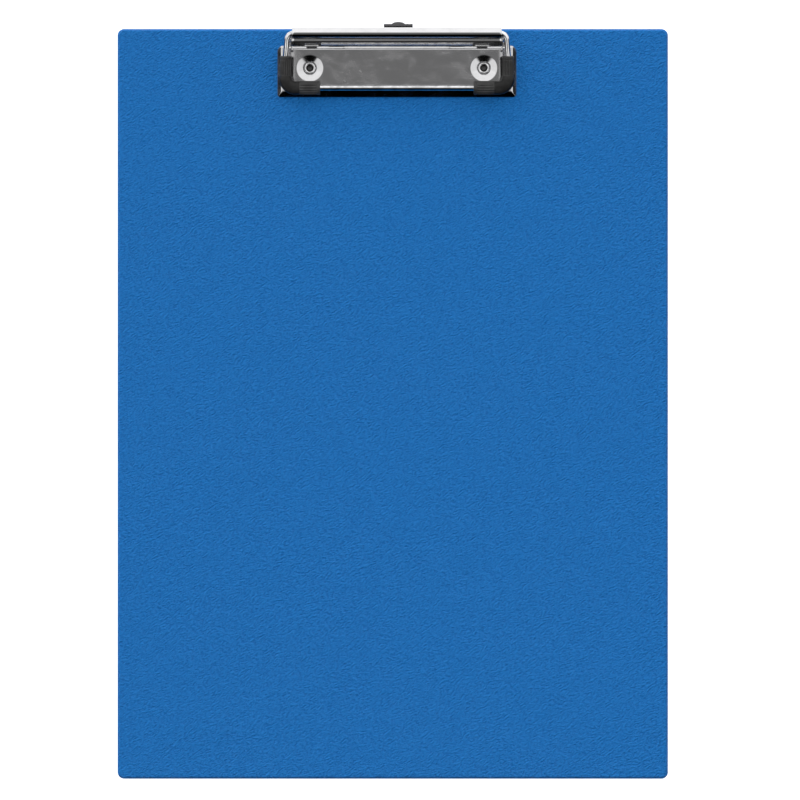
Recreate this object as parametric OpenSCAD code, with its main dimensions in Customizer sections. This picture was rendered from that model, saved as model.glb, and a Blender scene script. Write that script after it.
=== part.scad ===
// Clipboard: a film-covered greyboard with a riveted, spring-loaded wire clip,
// rubber jaw grips and a hanging tab that slides out from under the clip.
// The origin is the middle of the board's back face, +Y points to the clip and +Z out of the front.

/* [Board] */
// Width of the board over its welded rim
board_w = 229; // [215:0.5:260]
// Length of the board over its welded rim
board_l = 312; // [280:0.5:360]
// Thickness of the covered board
board_t = 2.6; // [2.4:0.1:4]
// Radius of the board's corners
corner_r = 2.7; // [1.5:0.1:12]
// Thickness of the plastic film on each face
film_t = 0.25; // [0.15:0.01:0.4]
// Width of the welded rim that joins the two films
weld_w = 0.5; // [0.3:0.1:1]
// Height of the welded rim
weld_t = 0.6; // [0.4:0.1:1]

/* [Base plate] */
// Width of the base plate
plate_w = 99.8; // [97:0.1:104]
// How far the clip sits to the right of the board's middle
clip_offset = 1.7; // [-4:0.1:4]
// Thickness of the plate's sheet steel
plate_t = 0.8; // [0.7:0.05:0.9]
// Height of the plate's raised middle above the board
plate_h = 2.6; // [2.5:0.05:2.7]
// Height of the plate's lower part, under the lever
plate_rear_h = 1.9; // [1.85:0.05:2]
// Sideways distance of the hinge lugs from the clip's middle
lug_x = 35.4; // [34:0.1:38]
// Width of a hinge lug
lug_w = 4.6; // [3:0.1:6]

/* [Hinge] */
// Diameter of the hinge rod
rod_d = 2; // [1.8:0.05:2]
// Height of the hinge rod above the board
rod_h = 4.4; // [4.35:0.05:4.5]
// Gap around the rod in the lugs and the lever
rod_gap = 0.05; // [0.03:0.01:0.09]

/* [Lever] */
// Diameter of the thumb tube along the lever's rear edge
tube_d = 4.7; // [4.5:0.05:4.75]
// Height of the thumb tube's axis above the board
tube_h = 8.65; // [8.6:0.05:8.75]
// Length of the lever
lever_w = 86.6; // [84:0.1:88]
// Thickness of the lever's sheet steel
lever_t = 0.7; // [0.5:0.05:0.8]

/* [Jaw wire] */
// Diameter of the jaw wire
wire_d = 2.3; // [2:0.05:2.4]
// Sideways distance of the wire's legs from the clip's middle
leg_x = 46.2; // [46:0.1:46.4]
// Height of the wire's front bar above the board
bar_h = 5.7; // [5.65:0.05:6]

/* [Grips] */
// Diameter of the rubber sleeve on the wire's leg
leg_grip_d = 5; // [4.4:0.1:5.2]
// Diameter of the rubber sleeve on the wire's front bar
bar_grip_d = 6; // [5:0.1:6]
// Number of grooves around a sleeve
groove_count = 14; // [8:1:20]

/* [Rivets] */
// Sideways distance of the rivets from the clip's middle
rivet_x = 36.2; // [35:0.1:36.2]
// Diameter of the rivet's shank
shank_d = 3.6; // [3.4:0.1:3.8]
// Diameter of the rivet's flat head, on the back
head_d = 8.4; // [7:0.1:9]
// Diameter of the rolled lip, on the front
lip_d = 4.6; // [4.4:0.1:4.8]
// Diameter of the dished seat pressed into the plate
seat_d = 10.8; // [10.6:0.1:11]

/* [Springs] */
// Diameter of the spring wire
spring_wire_d = 0.7; // [0.5:0.05:0.7]
// Number of full turns in each spring
spring_turns = 7; // [4:1:9]

/* [Hanging tab] */
// Width of the tab
tab_w = 12; // [11:0.1:12.2]
// How far the tab sits to the right of the clip's middle
tab_x = 0.6; // [0:0.1:1]
// Thickness of the tab
tab_t = 0.8; // [0.6:0.05:0.8]
// Diameter of the hanging hole
hang_hole_d = 6; // [4:0.1:7]
// How far the tab slides out
tab_travel = 18; // [16:0.1:18]

/* [Hidden] */
$fn = 64;
LEFT = -1;
RIGHT = 1;
over = 1;                    // how far a cutting shape runs past what it cuts

// Board
mid_z = board_t / 2;
recess_r = head_d / 2 + 0.15;
recess_depth = 0.7;
rivet_hole_r = shank_d / 2 + 0.05;

// Clip pieces are placed from the middle of the board's top edge, on its front face,
// so their Y is negative towards the middle of the board and Z is the height above the face.
front_y = -28.6;             // front edge of the base plate
wing_y = -7;                 // where the plate's wide part ends
step_y = -8.3;               // where the plate steps down under the lever
rear_y = -1.3;               // rear edge of the plate
rivet_y = -16.3;
neck_w = 92;                 // width of the plate under the lever
flat_half_w = 42;            // half width of the plate's level middle
side_run = 1.8;              // width of the sloped side flange
side_h = 2;                  // height at the top of the side flange
toe_h = 0.4;                 // height of the flanges' upright toe
front_run = 3;               // width of the sloped front flange
step_run = 0.7;

rod_y = -4.5;
lug_r = rod_d / 2 + rod_gap + plate_t - 0.05;

tube_y = -2.05;
tube_bore_d = tube_d - 2 * lever_t;
crest = [-5.4, 6.65];       // middle of the sheet where the hood turns down
knee = [-6.95, 5];
skirt_foot = [-7.2, 3.4];
tube_joint = [-2.4, 6.65];
heel = [-1.25, 4.3];         // corner of the end cheek that stops the lever when it is open
cheek_nose = [-8.9, 4.3];
cheek_r = 0.75;
window_w = lug_w + 0.8;

bar_y = -24.7;
jaw_tilt = atan((tube_h - bar_h) / (tube_y - bar_y));
jaw_len = round(100 * norm([tube_y - bar_y, tube_h - bar_h])) / 100;
wire_in_tube = 6;
exit_x = 42.3;               // where the wire starts to bend out of the tube
exit_r = 3.4;
lean = 4.5;                  // angle at which the wire leans out towards the leg
bend_r = 4;                  // radius of the wire's front corners
knuckle = 0.04;              // how far the wire swells where a straight meets a bend
knuckle_len = 0.1;           // length of straight that the swelling stands in for
leg_grip_from = 9.6;         // distances down the jaw from the tube's axis
collar_len = 1.3;
bar_grip_end_x = 31.9;
ribs_end_x = 40.5;
grip_gap = 0.06;             // gap between the wire and the rubber

spring_x = 22;
spring_pitch = 0.85;
spring_coil_r = rod_d / 2 + 0.1 + spring_wire_d / 2;
spring_steps = 12;           // rings in each turn
spring_sides = 8;
leg_angle_base = -78;        // where the leg that rests on the plate leaves the coil
leg_angle_hood = 90;         // where the leg that pushes the hood leaves the coil
leg_len_base = 2.9;
leg_len_hood = 0.7;

tab_lift = 0.05;
tab_tail_y = -24.2;          // inner end of the tab
tab_shoulder_y = rear_y - plate_t - 0.3 - tab_travel;
tab_shoulder_w = 20;         // the shoulders stop against the plate's rear flange
hang_hole_y = -12.6;
bead_r = 0.85;
bead_y = 1.25;
tongue_r = 4.5;
tongue_tip_y = 3;

// --- helpers ---

// Flat outline between two Y values, with its own corner radius at each end
module rounded_outline(width, y0, y1, r0, r1) {
    for (s = [LEFT, RIGHT]) {
        translate([s * (width / 2 - r0), y0 + r0]) circle(r = r0);
        translate([s * (width / 2 - r1), y1 - r1]) circle(r = r1);
    }
    translate([-width / 2, y0 + r0]) square([width, y1 - y0 - r0 - r1]);
    translate([-width / 2 + r0, y0]) square([width - 2 * r0, r0]);
    translate([-width / 2 + r1, y1 - r1]) square([width - 2 * r1, r1]);
}

module board_slab(inset, z0, z1) {
    half_l = board_l / 2 - inset;
    r = corner_r - inset;
    translate([0, 0, z0])
        linear_extrude(height = z1 - z0)
            rounded_outline(board_w - 2 * inset, -half_l, half_l, r, r);
}

module clip_frame() {
    translate([clip_offset, board_l / 2, board_t]) children();
}

module at_rivets() {
    for (s = [LEFT, RIGHT])
        translate([clip_offset + s * rivet_x, board_l / 2 + rivet_y, 0]) children();
}

// Extrudes an outline drawn in Y and Z along X, centred
module along_x(length) {
    rotate([90, 0, 90])
        linear_extrude(height = length, center = true)
            children();
}

// Extrudes an outline drawn in X and Z along Y
module along_y(y0, y1) {
    translate([0, y1, 0])
        rotate([90, 0, 0])
            linear_extrude(height = y1 - y0)
                children();
}

// A strip of sheet between two points of an outline, with round ends
module strip(a, b, t) {
    d = b - a;
    translate(a) {
        circle(d = t);
        translate([d[0], d[1]]) circle(d = t);
        rotate(atan2(d[1], d[0])) translate([0, -t / 2]) square([norm(d), t]);
    }
}

// --- board ---

module core_board() {
    color("tan")
        difference() {
            board_slab(weld_w + film_t, film_t, board_t - film_t);
            at_rivets() {
                translate([0, 0, -over]) cylinder(r = rivet_hole_r, h = board_t + 2 * over);
                translate([0, 0, -over])
                    cylinder(r = recess_r + film_t, h = over + recess_depth + film_t);
            }
        }
}

module front_cover() {
    color([0.14, 0.41, 0.67])
        difference() {
            union() {
                board_slab(weld_w, mid_z, board_t);
                board_slab(0, mid_z, mid_z + weld_t / 2);
            }
            board_slab(weld_w + film_t, mid_z - over, board_t - film_t);
            at_rivets() cylinder(r = rivet_hole_r, h = board_t + over);
        }
}

module back_cover() {
    color([0.14, 0.41, 0.67])
        difference() {
            union() {
                difference() {
                    union() {
                        board_slab(weld_w, 0, mid_z);
                        board_slab(0, mid_z - weld_t / 2, mid_z);
                    }
                    board_slab(weld_w + film_t, film_t, mid_z + over);
                }
                at_rivets() cylinder(r = recess_r + film_t, h = recess_depth + film_t);
            }
            at_rivets() {
                translate([0, 0, -over]) cylinder(r = recess_r, h = recess_depth + over);
                cylinder(r = rivet_hole_r, h = board_t);
            }
        }
}

// --- base plate ---

// Where a sloped flange's face is at a given height; inset moves it into the sheet
function slope_shift(run, rise, inset) = inset * norm([run, rise]) / rise;
function slope_at(edge, run, rise, inset, h) =
    edge - slope_shift(run, rise, inset) - (h - toe_h) * run / rise;

// Outline of the plate seen from its side, in Y and Z
module plate_side_view(inset) {
    top = plate_h - inset;
    rear_top = plate_rear_h - inset;
    foot = inset > 0 ? -over : 0;
    toe = inset > 0 ? -over : toe_h;
    rise = plate_h - toe_h;
    polygon([
        [-slope_at(-front_y, front_run, rise, inset, toe), foot],
        [-slope_at(-front_y, front_run, rise, inset, toe), toe + 0.001],
        [-slope_at(-front_y, front_run, rise, inset, top), top],
        [step_y - inset / 2, top],
        [step_y + step_run - inset / 2, rear_top],
        [rear_y - inset, rear_top],
        [rear_y - inset, foot]
    ]);
}

// Outline of the plate seen from its end, in X and Z
module plate_end_view(inset) {
    foot = inset > 0 ? -over : 0;
    toe = inset > 0 ? -over : toe_h;
    rise = side_h - toe_h;
    top = side_h - inset;
    half = [
        [slope_at(plate_w / 2, side_run, rise, inset, toe), foot],
        [slope_at(plate_w / 2, side_run, rise, inset, toe), toe + 0.001],
        [slope_at(plate_w / 2, side_run, rise, inset, top), top],
        [flat_half_w, plate_h - inset]
    ];
    polygon([
        for (p = half) p,
        for (i = [len(half) - 1:-1:0]) [-half[i][0], half[i][1]]
    ]);
}

module plate_block(inset) {
    intersection() {
        along_x(plate_w + 2 * over) plate_side_view(inset);
        along_y(front_y - over, 0) plate_end_view(inset);
        translate([0, 0, -2 * over])
            linear_extrude(height = plate_h + 3 * over) {
                rounded_outline(plate_w - 2 * inset, front_y + inset, wing_y - inset,
                                1.5 - inset, 2.5 - inset);
                rounded_outline(neck_w - 2 * inset, front_y / 2, rear_y - inset,
                                1.5 - inset, 1.5 - inset);
            }
    }
}

// The cone that carries the rivet down to the board
module rivet_seat() {
    floor_r = 2.7;
    rotate_extrude()
        polygon([
            [rivet_hole_r, 0],
            [floor_r + plate_t / 2, 0],
            [seat_d / 2 + 0.15, plate_h - plate_t],
            [seat_d / 2 + 0.15, plate_h],
            [seat_d / 2, plate_h],
            [floor_r, plate_t],
            [rivet_hole_r, plate_t]
        ]);
}

module hinge_lug() {
    along_x(lug_w)
        difference() {
            union() {
                translate([rod_y, rod_h]) circle(r = lug_r);
                translate([rod_y - lug_r, plate_rear_h - plate_t / 2])
                    square([plate_t - 0.1, rod_h - plate_rear_h + plate_t / 2]);
            }
            translate([rod_y, rod_h]) circle(r = rod_d / 2 + rod_gap);
        }
}

module base_plate() {
    color("silver")
        clip_frame() {
            difference() {
                plate_block(0);
                plate_block(plate_t);
                for (s = [LEFT, RIGHT])
                    translate([s * rivet_x, rivet_y, 0]) cylinder(d = seat_d, h = plate_h + over);
                // gap in the rear flange for the hanging tab
                translate([tab_x - tab_w / 2 - 0.5, rear_y - plate_t - over, -over])
                    cube([tab_w + 1, plate_t + 2 * over, over + plate_rear_h - plate_t]);
            }
            for (s = [LEFT, RIGHT]) {
                translate([s * rivet_x, rivet_y, 0]) rivet_seat();
                translate([s * lug_x, 0, 0]) hinge_lug();
            }
        }
}

// --- hinge ---

module hinge_rod() {
    cheek_out = lever_w / 2 + lever_t;
    rod_half = cheek_out + 0.1;
    head_t = 0.5;
    color("silver")
        clip_frame()
            translate([0, rod_y, rod_h])
                rotate([0, 90, 0]) {
                    cylinder(d = rod_d, h = 2 * rod_half, center = true);
                    for (s = [LEFT, RIGHT])
                        translate([0, 0, s * (rod_half + head_t / 2)])
                            cylinder(d = rod_d + 0.8, h = head_t, center = true);
                }
}

// --- lever ---

module hood_section() {
    strip(tube_joint, crest, lever_t);
    strip(crest, knee, lever_t);
    strip(knee, skirt_foot, lever_t);
    translate([tube_y, tube_h]) circle(d = tube_d);
}

// End cheek: holds the rod, joins the hood and has a nose beside the jaw wire
module cheek_outline() {
    difference() {
        union() {
            polygon([
                tube_joint,
                crest,
                knee,
                skirt_foot,
                [rod_y, skirt_foot[1] - 0.9],
                heel
            ]);
            strip(skirt_foot + [0.4, 0.8], cheek_nose, 2 * cheek_r);
        }
        translate([rod_y, rod_h]) circle(r = rod_d / 2 + rod_gap);
    }
}

module lever() {
    color("silver")
        clip_frame() {
            difference() {
                along_x(lever_w) hood_section();
                along_x(lever_w + 2 * over) translate([tube_y, tube_h]) circle(d = tube_bore_d);
                // windows that the hinge lugs show through
                for (s = [LEFT, RIGHT])
                    translate([s * lug_x - window_w / 2, knee[0] - 0.6, knee[1] - 1.2])
                        cube([window_w, 1.6, 2.6]);
            }
            for (s = [LEFT, RIGHT])
                translate([s * (lever_w + lever_t) / 2, 0, 0])
                    along_x(lever_t) cheek_outline();
        }
}

// --- jaw ---

// Frame in the tilted plane of the jaw: origin on the tube's axis, -Y down the jaw
module jaw_plane() {
    clip_frame() translate([0, tube_y, tube_h]) rotate([jaw_tilt, 0, 0]) children();
}

// Round bar from a point along a direction in the jaw's plane
module bar(p, direction, length, r) {
    translate([p[0], p[1], 0])
        rotate([0, 90, direction])
            cylinder(r = r, h = length);
}

// Round bar bent about a centre in the jaw's plane
module bend(centre, radius, a0, a1, r) {
    translate([centre[0], centre[1], 0])
        rotate([0, 0, a0])
            rotate_extrude(angle = a1 - a0)
                translate([radius, 0]) circle(r = r);
}

// Half of the jaw's front: a leg, the corner and half of the front bar
module jaw_front(leg_top, bar_end_x, r_leg, r_corner, r_bar) {
    leg_end = jaw_len - bend_r;
    bar([leg_x, -leg_top], -90, leg_end - leg_top, r_leg);
    bend([leg_x - bend_r, -leg_end], bend_r, -90, 0, r_corner);
    bar([bar_end_x, -jaw_len], 0, leg_x - bend_r - bar_end_x, r_bar);
}

module jaw_wire() {
    r = wire_d / 2;
    lean_start = [exit_x + exit_r * cos(lean), exit_r * sin(lean) - exit_r];
    lean_len = (leg_x - lean_start[0]) / sin(lean);
    leg_top = lean_len * cos(lean) - lean_start[1];
    lean_step = knuckle_len * [sin(lean), -cos(lean)];
    color("silver")
        jaw_plane()
            for (s = [0, 1])
                mirror([s, 0, 0]) {
                    bar([exit_x - wire_in_tube, 0], 0, wire_in_tube - knuckle_len, r);
                    bend([exit_x, -exit_r], exit_r, lean, 90, r);
                    bar(lean_start + lean_step, lean - 90, lean_len - 2 * knuckle_len, r);
                    jaw_front(leg_top + knuckle_len, -over, r, r, r);
                    for (p = [[exit_x, 0], lean_start, [leg_x, -leg_top]])
                        translate([p[0], p[1], 0]) sphere(r = r + knuckle);
                }
}

module grooved(d, depth) {
    difference() {
        circle(d = d);
        for (i = [0:groove_count - 1])
            rotate(i * 360 / groove_count)
                translate([d / 2 - depth, -0.22]) square([depth + over, 0.44]);
    }
}

module grip() {
    groove = 0.35;
    leg_r = leg_grip_d / 2;
    bar_r = bar_grip_d / 2;
    ribs_top = leg_grip_from + collar_len;
    ribs_len = 7.1;
    difference() {
        union() {
            bar([leg_x, -leg_grip_from], -90, collar_len, leg_r);
            translate([leg_x, -ribs_top, 0])
                rotate([90, 0, 0])
                    linear_extrude(height = ribs_len) grooved(leg_grip_d - 0.2, groove);
            bar([leg_x, -ribs_top - ribs_len], -90, jaw_len - bend_r - ribs_top - ribs_len, leg_r);
            bend([leg_x - bend_r, bend_r - jaw_len], bend_r, -90, 0, bar_r - 0.1);
            bar([ribs_end_x, -jaw_len], 0, leg_x - bend_r - ribs_end_x, bar_r - 0.1);
            translate([bar_grip_end_x + collar_len, -jaw_len, 0])
                rotate([90, 0, 90])
                    linear_extrude(height = ribs_end_x - bar_grip_end_x - collar_len)
                        grooved(bar_grip_d - 0.2, groove);
            bar([bar_grip_end_x, -jaw_len], 0, collar_len, bar_r);
        }
        jaw_front(leg_grip_from - over, bar_grip_end_x - over,
                  wire_d / 2 + grip_gap, wire_d / 2 + grip_gap, wire_d / 2 + grip_gap);
    }
}

module grip_right() {
    color([0.12, 0.12, 0.12]) jaw_plane() grip();
}

module grip_left() {
    color([0.12, 0.12, 0.12]) jaw_plane() mirror([1, 0, 0]) grip();
}

// --- springs ---

function around_rod(x, angle) =
    [x, rod_y + spring_coil_r * cos(angle), rod_h + spring_coil_r * sin(angle)];

// Middle of each ring of the spring's wire, with the ring's angle around the rod
function spring_path() =
    let (
        last = leg_angle_hood + 360 * spring_turns,
        count = ceil((last - leg_angle_base) / 360 * spring_steps),
        x_end = spring_x + spring_pitch * (last - leg_angle_base) / 360,
        to_base = [0, sin(leg_angle_base), -cos(leg_angle_base)],
        to_hood = [0, -sin(leg_angle_hood), cos(leg_angle_hood)]
    )
    [
        [around_rod(spring_x, leg_angle_base) + leg_len_base * to_base, leg_angle_base],
        for (i = [0:count])
            let (a = leg_angle_base + (last - leg_angle_base) * i / count)
            [around_rod(spring_x + spring_pitch * (a - leg_angle_base) / 360, a), a],
        [around_rod(x_end, last) + leg_len_hood * to_hood, last]
    ];

// Tube through a list of ring centres, each ring lying across the wire
module spring() {
    path = spring_path();
    n = spring_sides;
    rings = len(path);
    points = [
        for (p = path)
            for (k = [0:n - 1])
                let (b = 360 * k / n)
                p[0] + spring_wire_d / 2 * [sin(b), cos(b) * cos(p[1]), cos(b) * sin(p[1])]
    ];
    walls = [
        for (i = [0:rings - 2])
            for (k = [0:n - 1])
                [i * n + k, i * n + (k + 1) % n, (i + 1) * n + (k + 1) % n, (i + 1) * n + k]
    ];
    first = [for (k = [n - 1:-1:0]) k];
    last = [for (k = [0:n - 1]) (rings - 1) * n + k];
    polyhedron(points = points, faces = concat([first], walls, [last]));
}

module spring_right() {
    color("gray") clip_frame() spring();
}

module spring_left() {
    color("gray") clip_frame() mirror([1, 0, 0]) spring();
}

// --- rivets ---

module rivet(side) {
    shank_r = shank_d / 2;
    bore_r = 1.35;
    web_z = 0.9;             // top of the closed end of the shank
    head_z = 0.05;
    lip_z = board_t + plate_t + 0.02;
    lip_h = 0.7;
    lip_mid_r = (lip_d / 2 + bore_r) / 2;
    color("silver")
        translate([clip_offset + side * rivet_x, board_l / 2 + rivet_y, 0])
            rotate_extrude() {
                polygon([
                    [0, head_z],
                    [head_d / 2 - 0.25, head_z],
                    [head_d / 2, head_z + 0.25],
                    [head_d / 2, recess_depth - 0.02],
                    [shank_r, recess_depth - 0.02],
                    [shank_r, lip_z],
                    [lip_d / 2, lip_z],
                    [lip_d / 2, lip_z + lip_h / 2],
                    [lip_mid_r + 0.25, lip_z + lip_h],
                    [lip_mid_r - 0.25, lip_z + lip_h],
                    [bore_r, lip_z + lip_h / 2],
                    [bore_r, web_z],
                    [0, web_z]
                ]);
            }
}

module rivet_left() {
    rivet(LEFT);
}

module rivet_right() {
    rivet(RIGHT);
}

// --- hanging tab ---

module hanger_tab() {
    color("dimgray")
        clip_frame() translate([tab_x, 0, 0]) {
            translate([0, 0, tab_lift])
                difference() {
                    linear_extrude(height = tab_t) {
                        translate([-tab_w / 2, tab_tail_y])
                            square([tab_w, bead_y - tab_tail_y]);
                        translate([-tab_shoulder_w / 2, tab_tail_y])
                            square([tab_shoulder_w, tab_shoulder_y - tab_tail_y]);
                        intersection() {
                            translate([0, tongue_tip_y - tongue_r]) circle(r = tongue_r);
                            translate([-tongue_r, bead_y]) square([2 * tongue_r, tongue_r]);
                        }
                    }
                    translate([0, hang_hole_y, -over])
                        cylinder(d = hang_hole_d, h = tab_t + 2 * over);
                }
            along_x(tab_w) translate([bead_y, tab_lift + tab_t / 2]) circle(r = bead_r);
        }
}

core_board();
front_cover();
back_cover();
base_plate();
hinge_rod();
lever();
jaw_wire();
grip_left();
grip_right();
spring_left();
spring_right();
rivet_left();
rivet_right();
hanger_tab();
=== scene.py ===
"""Clipboard with a low-profile wire clip: its detailed meshes, materials, studio and camera."""
import math

import bmesh
import bpy
import numpy as np
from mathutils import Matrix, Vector


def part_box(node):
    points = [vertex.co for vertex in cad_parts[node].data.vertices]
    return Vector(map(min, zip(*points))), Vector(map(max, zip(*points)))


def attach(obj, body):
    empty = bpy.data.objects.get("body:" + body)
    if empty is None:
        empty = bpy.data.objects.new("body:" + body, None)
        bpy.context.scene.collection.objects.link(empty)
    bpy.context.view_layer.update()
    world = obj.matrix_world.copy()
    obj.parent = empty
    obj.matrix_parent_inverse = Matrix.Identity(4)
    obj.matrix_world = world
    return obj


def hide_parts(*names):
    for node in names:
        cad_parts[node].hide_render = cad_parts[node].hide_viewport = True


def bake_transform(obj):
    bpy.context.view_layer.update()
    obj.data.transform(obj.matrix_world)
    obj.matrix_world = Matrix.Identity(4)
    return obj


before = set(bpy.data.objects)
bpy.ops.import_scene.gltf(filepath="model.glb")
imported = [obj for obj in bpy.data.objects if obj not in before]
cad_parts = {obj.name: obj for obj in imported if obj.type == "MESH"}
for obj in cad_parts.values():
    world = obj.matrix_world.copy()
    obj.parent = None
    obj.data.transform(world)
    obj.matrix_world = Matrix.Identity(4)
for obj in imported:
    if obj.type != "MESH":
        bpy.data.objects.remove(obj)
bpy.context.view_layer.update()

MM = 0.001
LEFT, RIGHT = -1, 1

# ---------------------------------------------------------------- places from the frame

face_lo, face_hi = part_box("front_cover")
plate_lo, plate_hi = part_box("base_plate")
lever_lo, lever_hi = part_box("lever")
rivet_lo, rivet_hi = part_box("rivet_right")
rod_lo, rod_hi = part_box("hinge_rod")
tab_lo, tab_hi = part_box("hanger_tab")

CLIP_X = (plate_lo.x + plate_hi.x) / 2
TAB_X = (tab_lo.x + tab_hi.x) / 2
TOP_Y = face_hi.y
FACE_Z = face_hi.z
BOARD_W = (face_hi.x - face_lo.x) / MM
BOARD_L = (face_hi.y - face_lo.y) / MM
BOARD_T = FACE_Z / MM

# The clip's own sizes are in millimetres. Its pieces are placed from the middle of the
# board's top edge: u to the right, v towards the edge (negative on the board), w up.
FRONT_V = (plate_lo.y - TOP_Y) / MM
REAR_V = (plate_hi.y - TOP_Y) / MM
PLATE_HALF = (plate_hi.x - plate_lo.x) / 2 / MM
PLATE_H = 2.6
PLATE_REAR_H = 1.9
PLATE_T = 0.8
RIVET_U = ((rivet_lo.x + rivet_hi.x) / 2 - CLIP_X) / MM
RIVET_V = ((rivet_lo.y + rivet_hi.y) / 2 - TOP_Y) / MM
ROD_V = ((rod_lo.y + rod_hi.y) / 2 - TOP_Y) / MM
ROD_W = ((rod_lo.z + rod_hi.z) / 2 - FACE_Z) / MM
ROD_R = 1.0
LUG_U, LUG_W = 35.4, 4.6
LEVER_HALF = 43.3
LEVER_T = 0.7
TUBE_R = 2.35
TUBE_V = (lever_hi.y - TOP_Y) / MM - TUBE_R
TUBE_W = (lever_hi.z - FACE_Z) / MM - TUBE_R
BAR_V, BAR_W = -24.7, 5.7
WIRE_R = 1.15
LEG_U = 46.2
BEND_R = 4.0


def clip_to_world(points):
    """Clip coordinates in millimetres to metres in the frame."""
    points = np.asarray(points, float)
    return points * MM + np.array([CLIP_X, TOP_Y, FACE_Z])


# ---------------------------------------------------------------- mesh helpers


def link_mesh(name, verts, faces):
    mesh = bpy.data.meshes.new(name)
    mesh.from_pydata([tuple(map(float, v)) for v in verts], [], [tuple(map(int, f)) for f in faces])
    mesh.validate()
    obj = bpy.data.objects.new(name, mesh)
    bpy.context.scene.collection.objects.link(obj)
    return obj


def fix_normals(obj):
    bm = bmesh.new()
    bm.from_mesh(obj.data)
    bmesh.ops.remove_doubles(bm, verts=bm.verts, dist=1e-7)
    bmesh.ops.recalc_face_normals(bm, faces=bm.faces)
    bm.to_mesh(obj.data)
    bm.free()


def shade(obj, angle=35):
    """Smooth shading with sharp edges where the surface turns by more than an angle."""
    obj.data.shade_smooth()
    obj.data.set_sharp_from_angle(angle=math.radians(angle))


def bake_modifiers(obj):
    """Replaces the mesh by what its modifiers make of it."""
    graph = bpy.context.evaluated_depsgraph_get()
    made = bpy.data.meshes.new_from_object(obj.evaluated_get(graph))
    obj.modifiers.clear()
    obj.data = made


def thicken(obj, thickness, offset, bevel=0.0, segments=2, even=True):
    """Gives a surface the thickness of sheet, with rounded edges."""
    solid = obj.modifiers.new("thickness", "SOLIDIFY")
    solid.thickness = thickness * MM
    solid.offset = offset
    solid.use_even_offset = even
    if bevel:
        round_edges(obj, bevel, segments)
    bpy.context.view_layer.update()
    bake_modifiers(obj)


def round_edges(obj, width, segments=2, angle=40):
    mod = obj.modifiers.new("rounded", "BEVEL")
    mod.width = width * MM
    mod.segments = segments
    mod.limit_method = "ANGLE"
    mod.angle_limit = math.radians(angle)
    mod.use_clamp_overlap = True


def join(name, objs):
    """One mesh object from several."""
    bm = bmesh.new()
    for o in objs:
        bm.from_mesh(o.data)
    mesh = bpy.data.meshes.new(name)
    bm.to_mesh(mesh)
    bm.free()
    for o in objs:
        bpy.data.objects.remove(o)
    obj = bpy.data.objects.new(name, mesh)
    bpy.context.scene.collection.objects.link(obj)
    return obj


def place(obj, body, nodes, material):
    """Gives a finished piece its material and body, and hides the CAD nodes that it stands for."""
    obj.data.materials.clear()
    obj.data.materials.append(material)
    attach(obj, body)
    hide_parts(*nodes)


def grid_faces(rows, cols, keep=None, wrap=False):
    """Four-sided faces of a grid of points; wrap joins the last column to the first."""
    faces = []
    for i in range(rows - 1):
        for j in range(cols if wrap else cols - 1):
            if keep is not None and not keep(i, j):
                continue
            k = (j + 1) % cols
            faces.append((i * cols + j, i * cols + k, (i + 1) * cols + k, (i + 1) * cols + j))
    return faces


def smooth_min(a, b, k):
    """The lower of two heights, with the corner between them rounded over k."""
    h = np.clip(0.5 + 0.5 * (b - a) / k, 0, 1)
    return b * (1 - h) + a * h - k * h * (1 - h)


def arc(centre, radius, start, end, step=8):
    """Points of an arc, with angles in degrees."""
    count = max(2, int(abs(end - start) / step) + 1)
    angles = np.radians(np.linspace(start, end, count))
    return [(centre[0] + radius * math.cos(a), centre[1] + radius * math.sin(a)) for a in angles]


def rounded_path(points, radii, closed=False, step=10):
    """A run of straight lines with each corner rounded to its own radius."""
    n = len(points)
    out = []
    for i, (p, r) in enumerate(zip(points, radii)):
        p = np.array(p, float)
        if (not closed and i in (0, n - 1)) or r == 0:
            out.append(tuple(p))
            continue
        a = np.array(points[i - 1], float) - p
        b = np.array(points[(i + 1) % n], float) - p
        a /= np.linalg.norm(a)
        b /= np.linalg.norm(b)
        half = math.acos(np.clip(a @ b, -1, 1)) / 2
        middle = (a + b) / np.linalg.norm(a + b)
        centre = p + middle * r / math.sin(half)
        reach = r / math.tan(half)
        t0 = p + a * reach - centre
        t1 = p + b * reach - centre
        start = math.degrees(math.atan2(t0[1], t0[0]))
        turn = (math.degrees(math.atan2(t1[1], t1[0])) - start + 180) % 360 - 180
        out += arc(centre, r, start, start + turn, step)
    return out


def evenly(points, spacing):
    """The same path with extra points, so that none are further apart than the spacing."""
    out = [points[0]]
    for a, b in zip(points, points[1:]):
        a, b = np.array(a, float), np.array(b, float)
        count = max(1, int(math.ceil(np.linalg.norm(b - a) / spacing)))
        out += [tuple(a + (b - a) * k / count) for k in range(1, count + 1)]
    return out


def lathe(name, profile, centre, axis="Z", sides=64):
    """A profile of (radius, height) points turned round an axis; both ends are closed."""
    verts = []
    for r, h in profile:
        for k in range(sides):
            a = 2 * math.pi * k / sides
            p = (r * math.cos(a), r * math.sin(a), h)
            verts.append(p if axis == "Z" else (p[2], p[0], p[1]))
    verts = np.array(verts) * MM + np.array(centre)
    faces = grid_faces(len(profile), sides, wrap=True)
    faces.append(tuple(range(sides)))
    faces.append(tuple(range((len(profile) - 1) * sides, len(profile) * sides)))
    obj = link_mesh(name, verts, faces)
    fix_normals(obj)
    return obj


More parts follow.
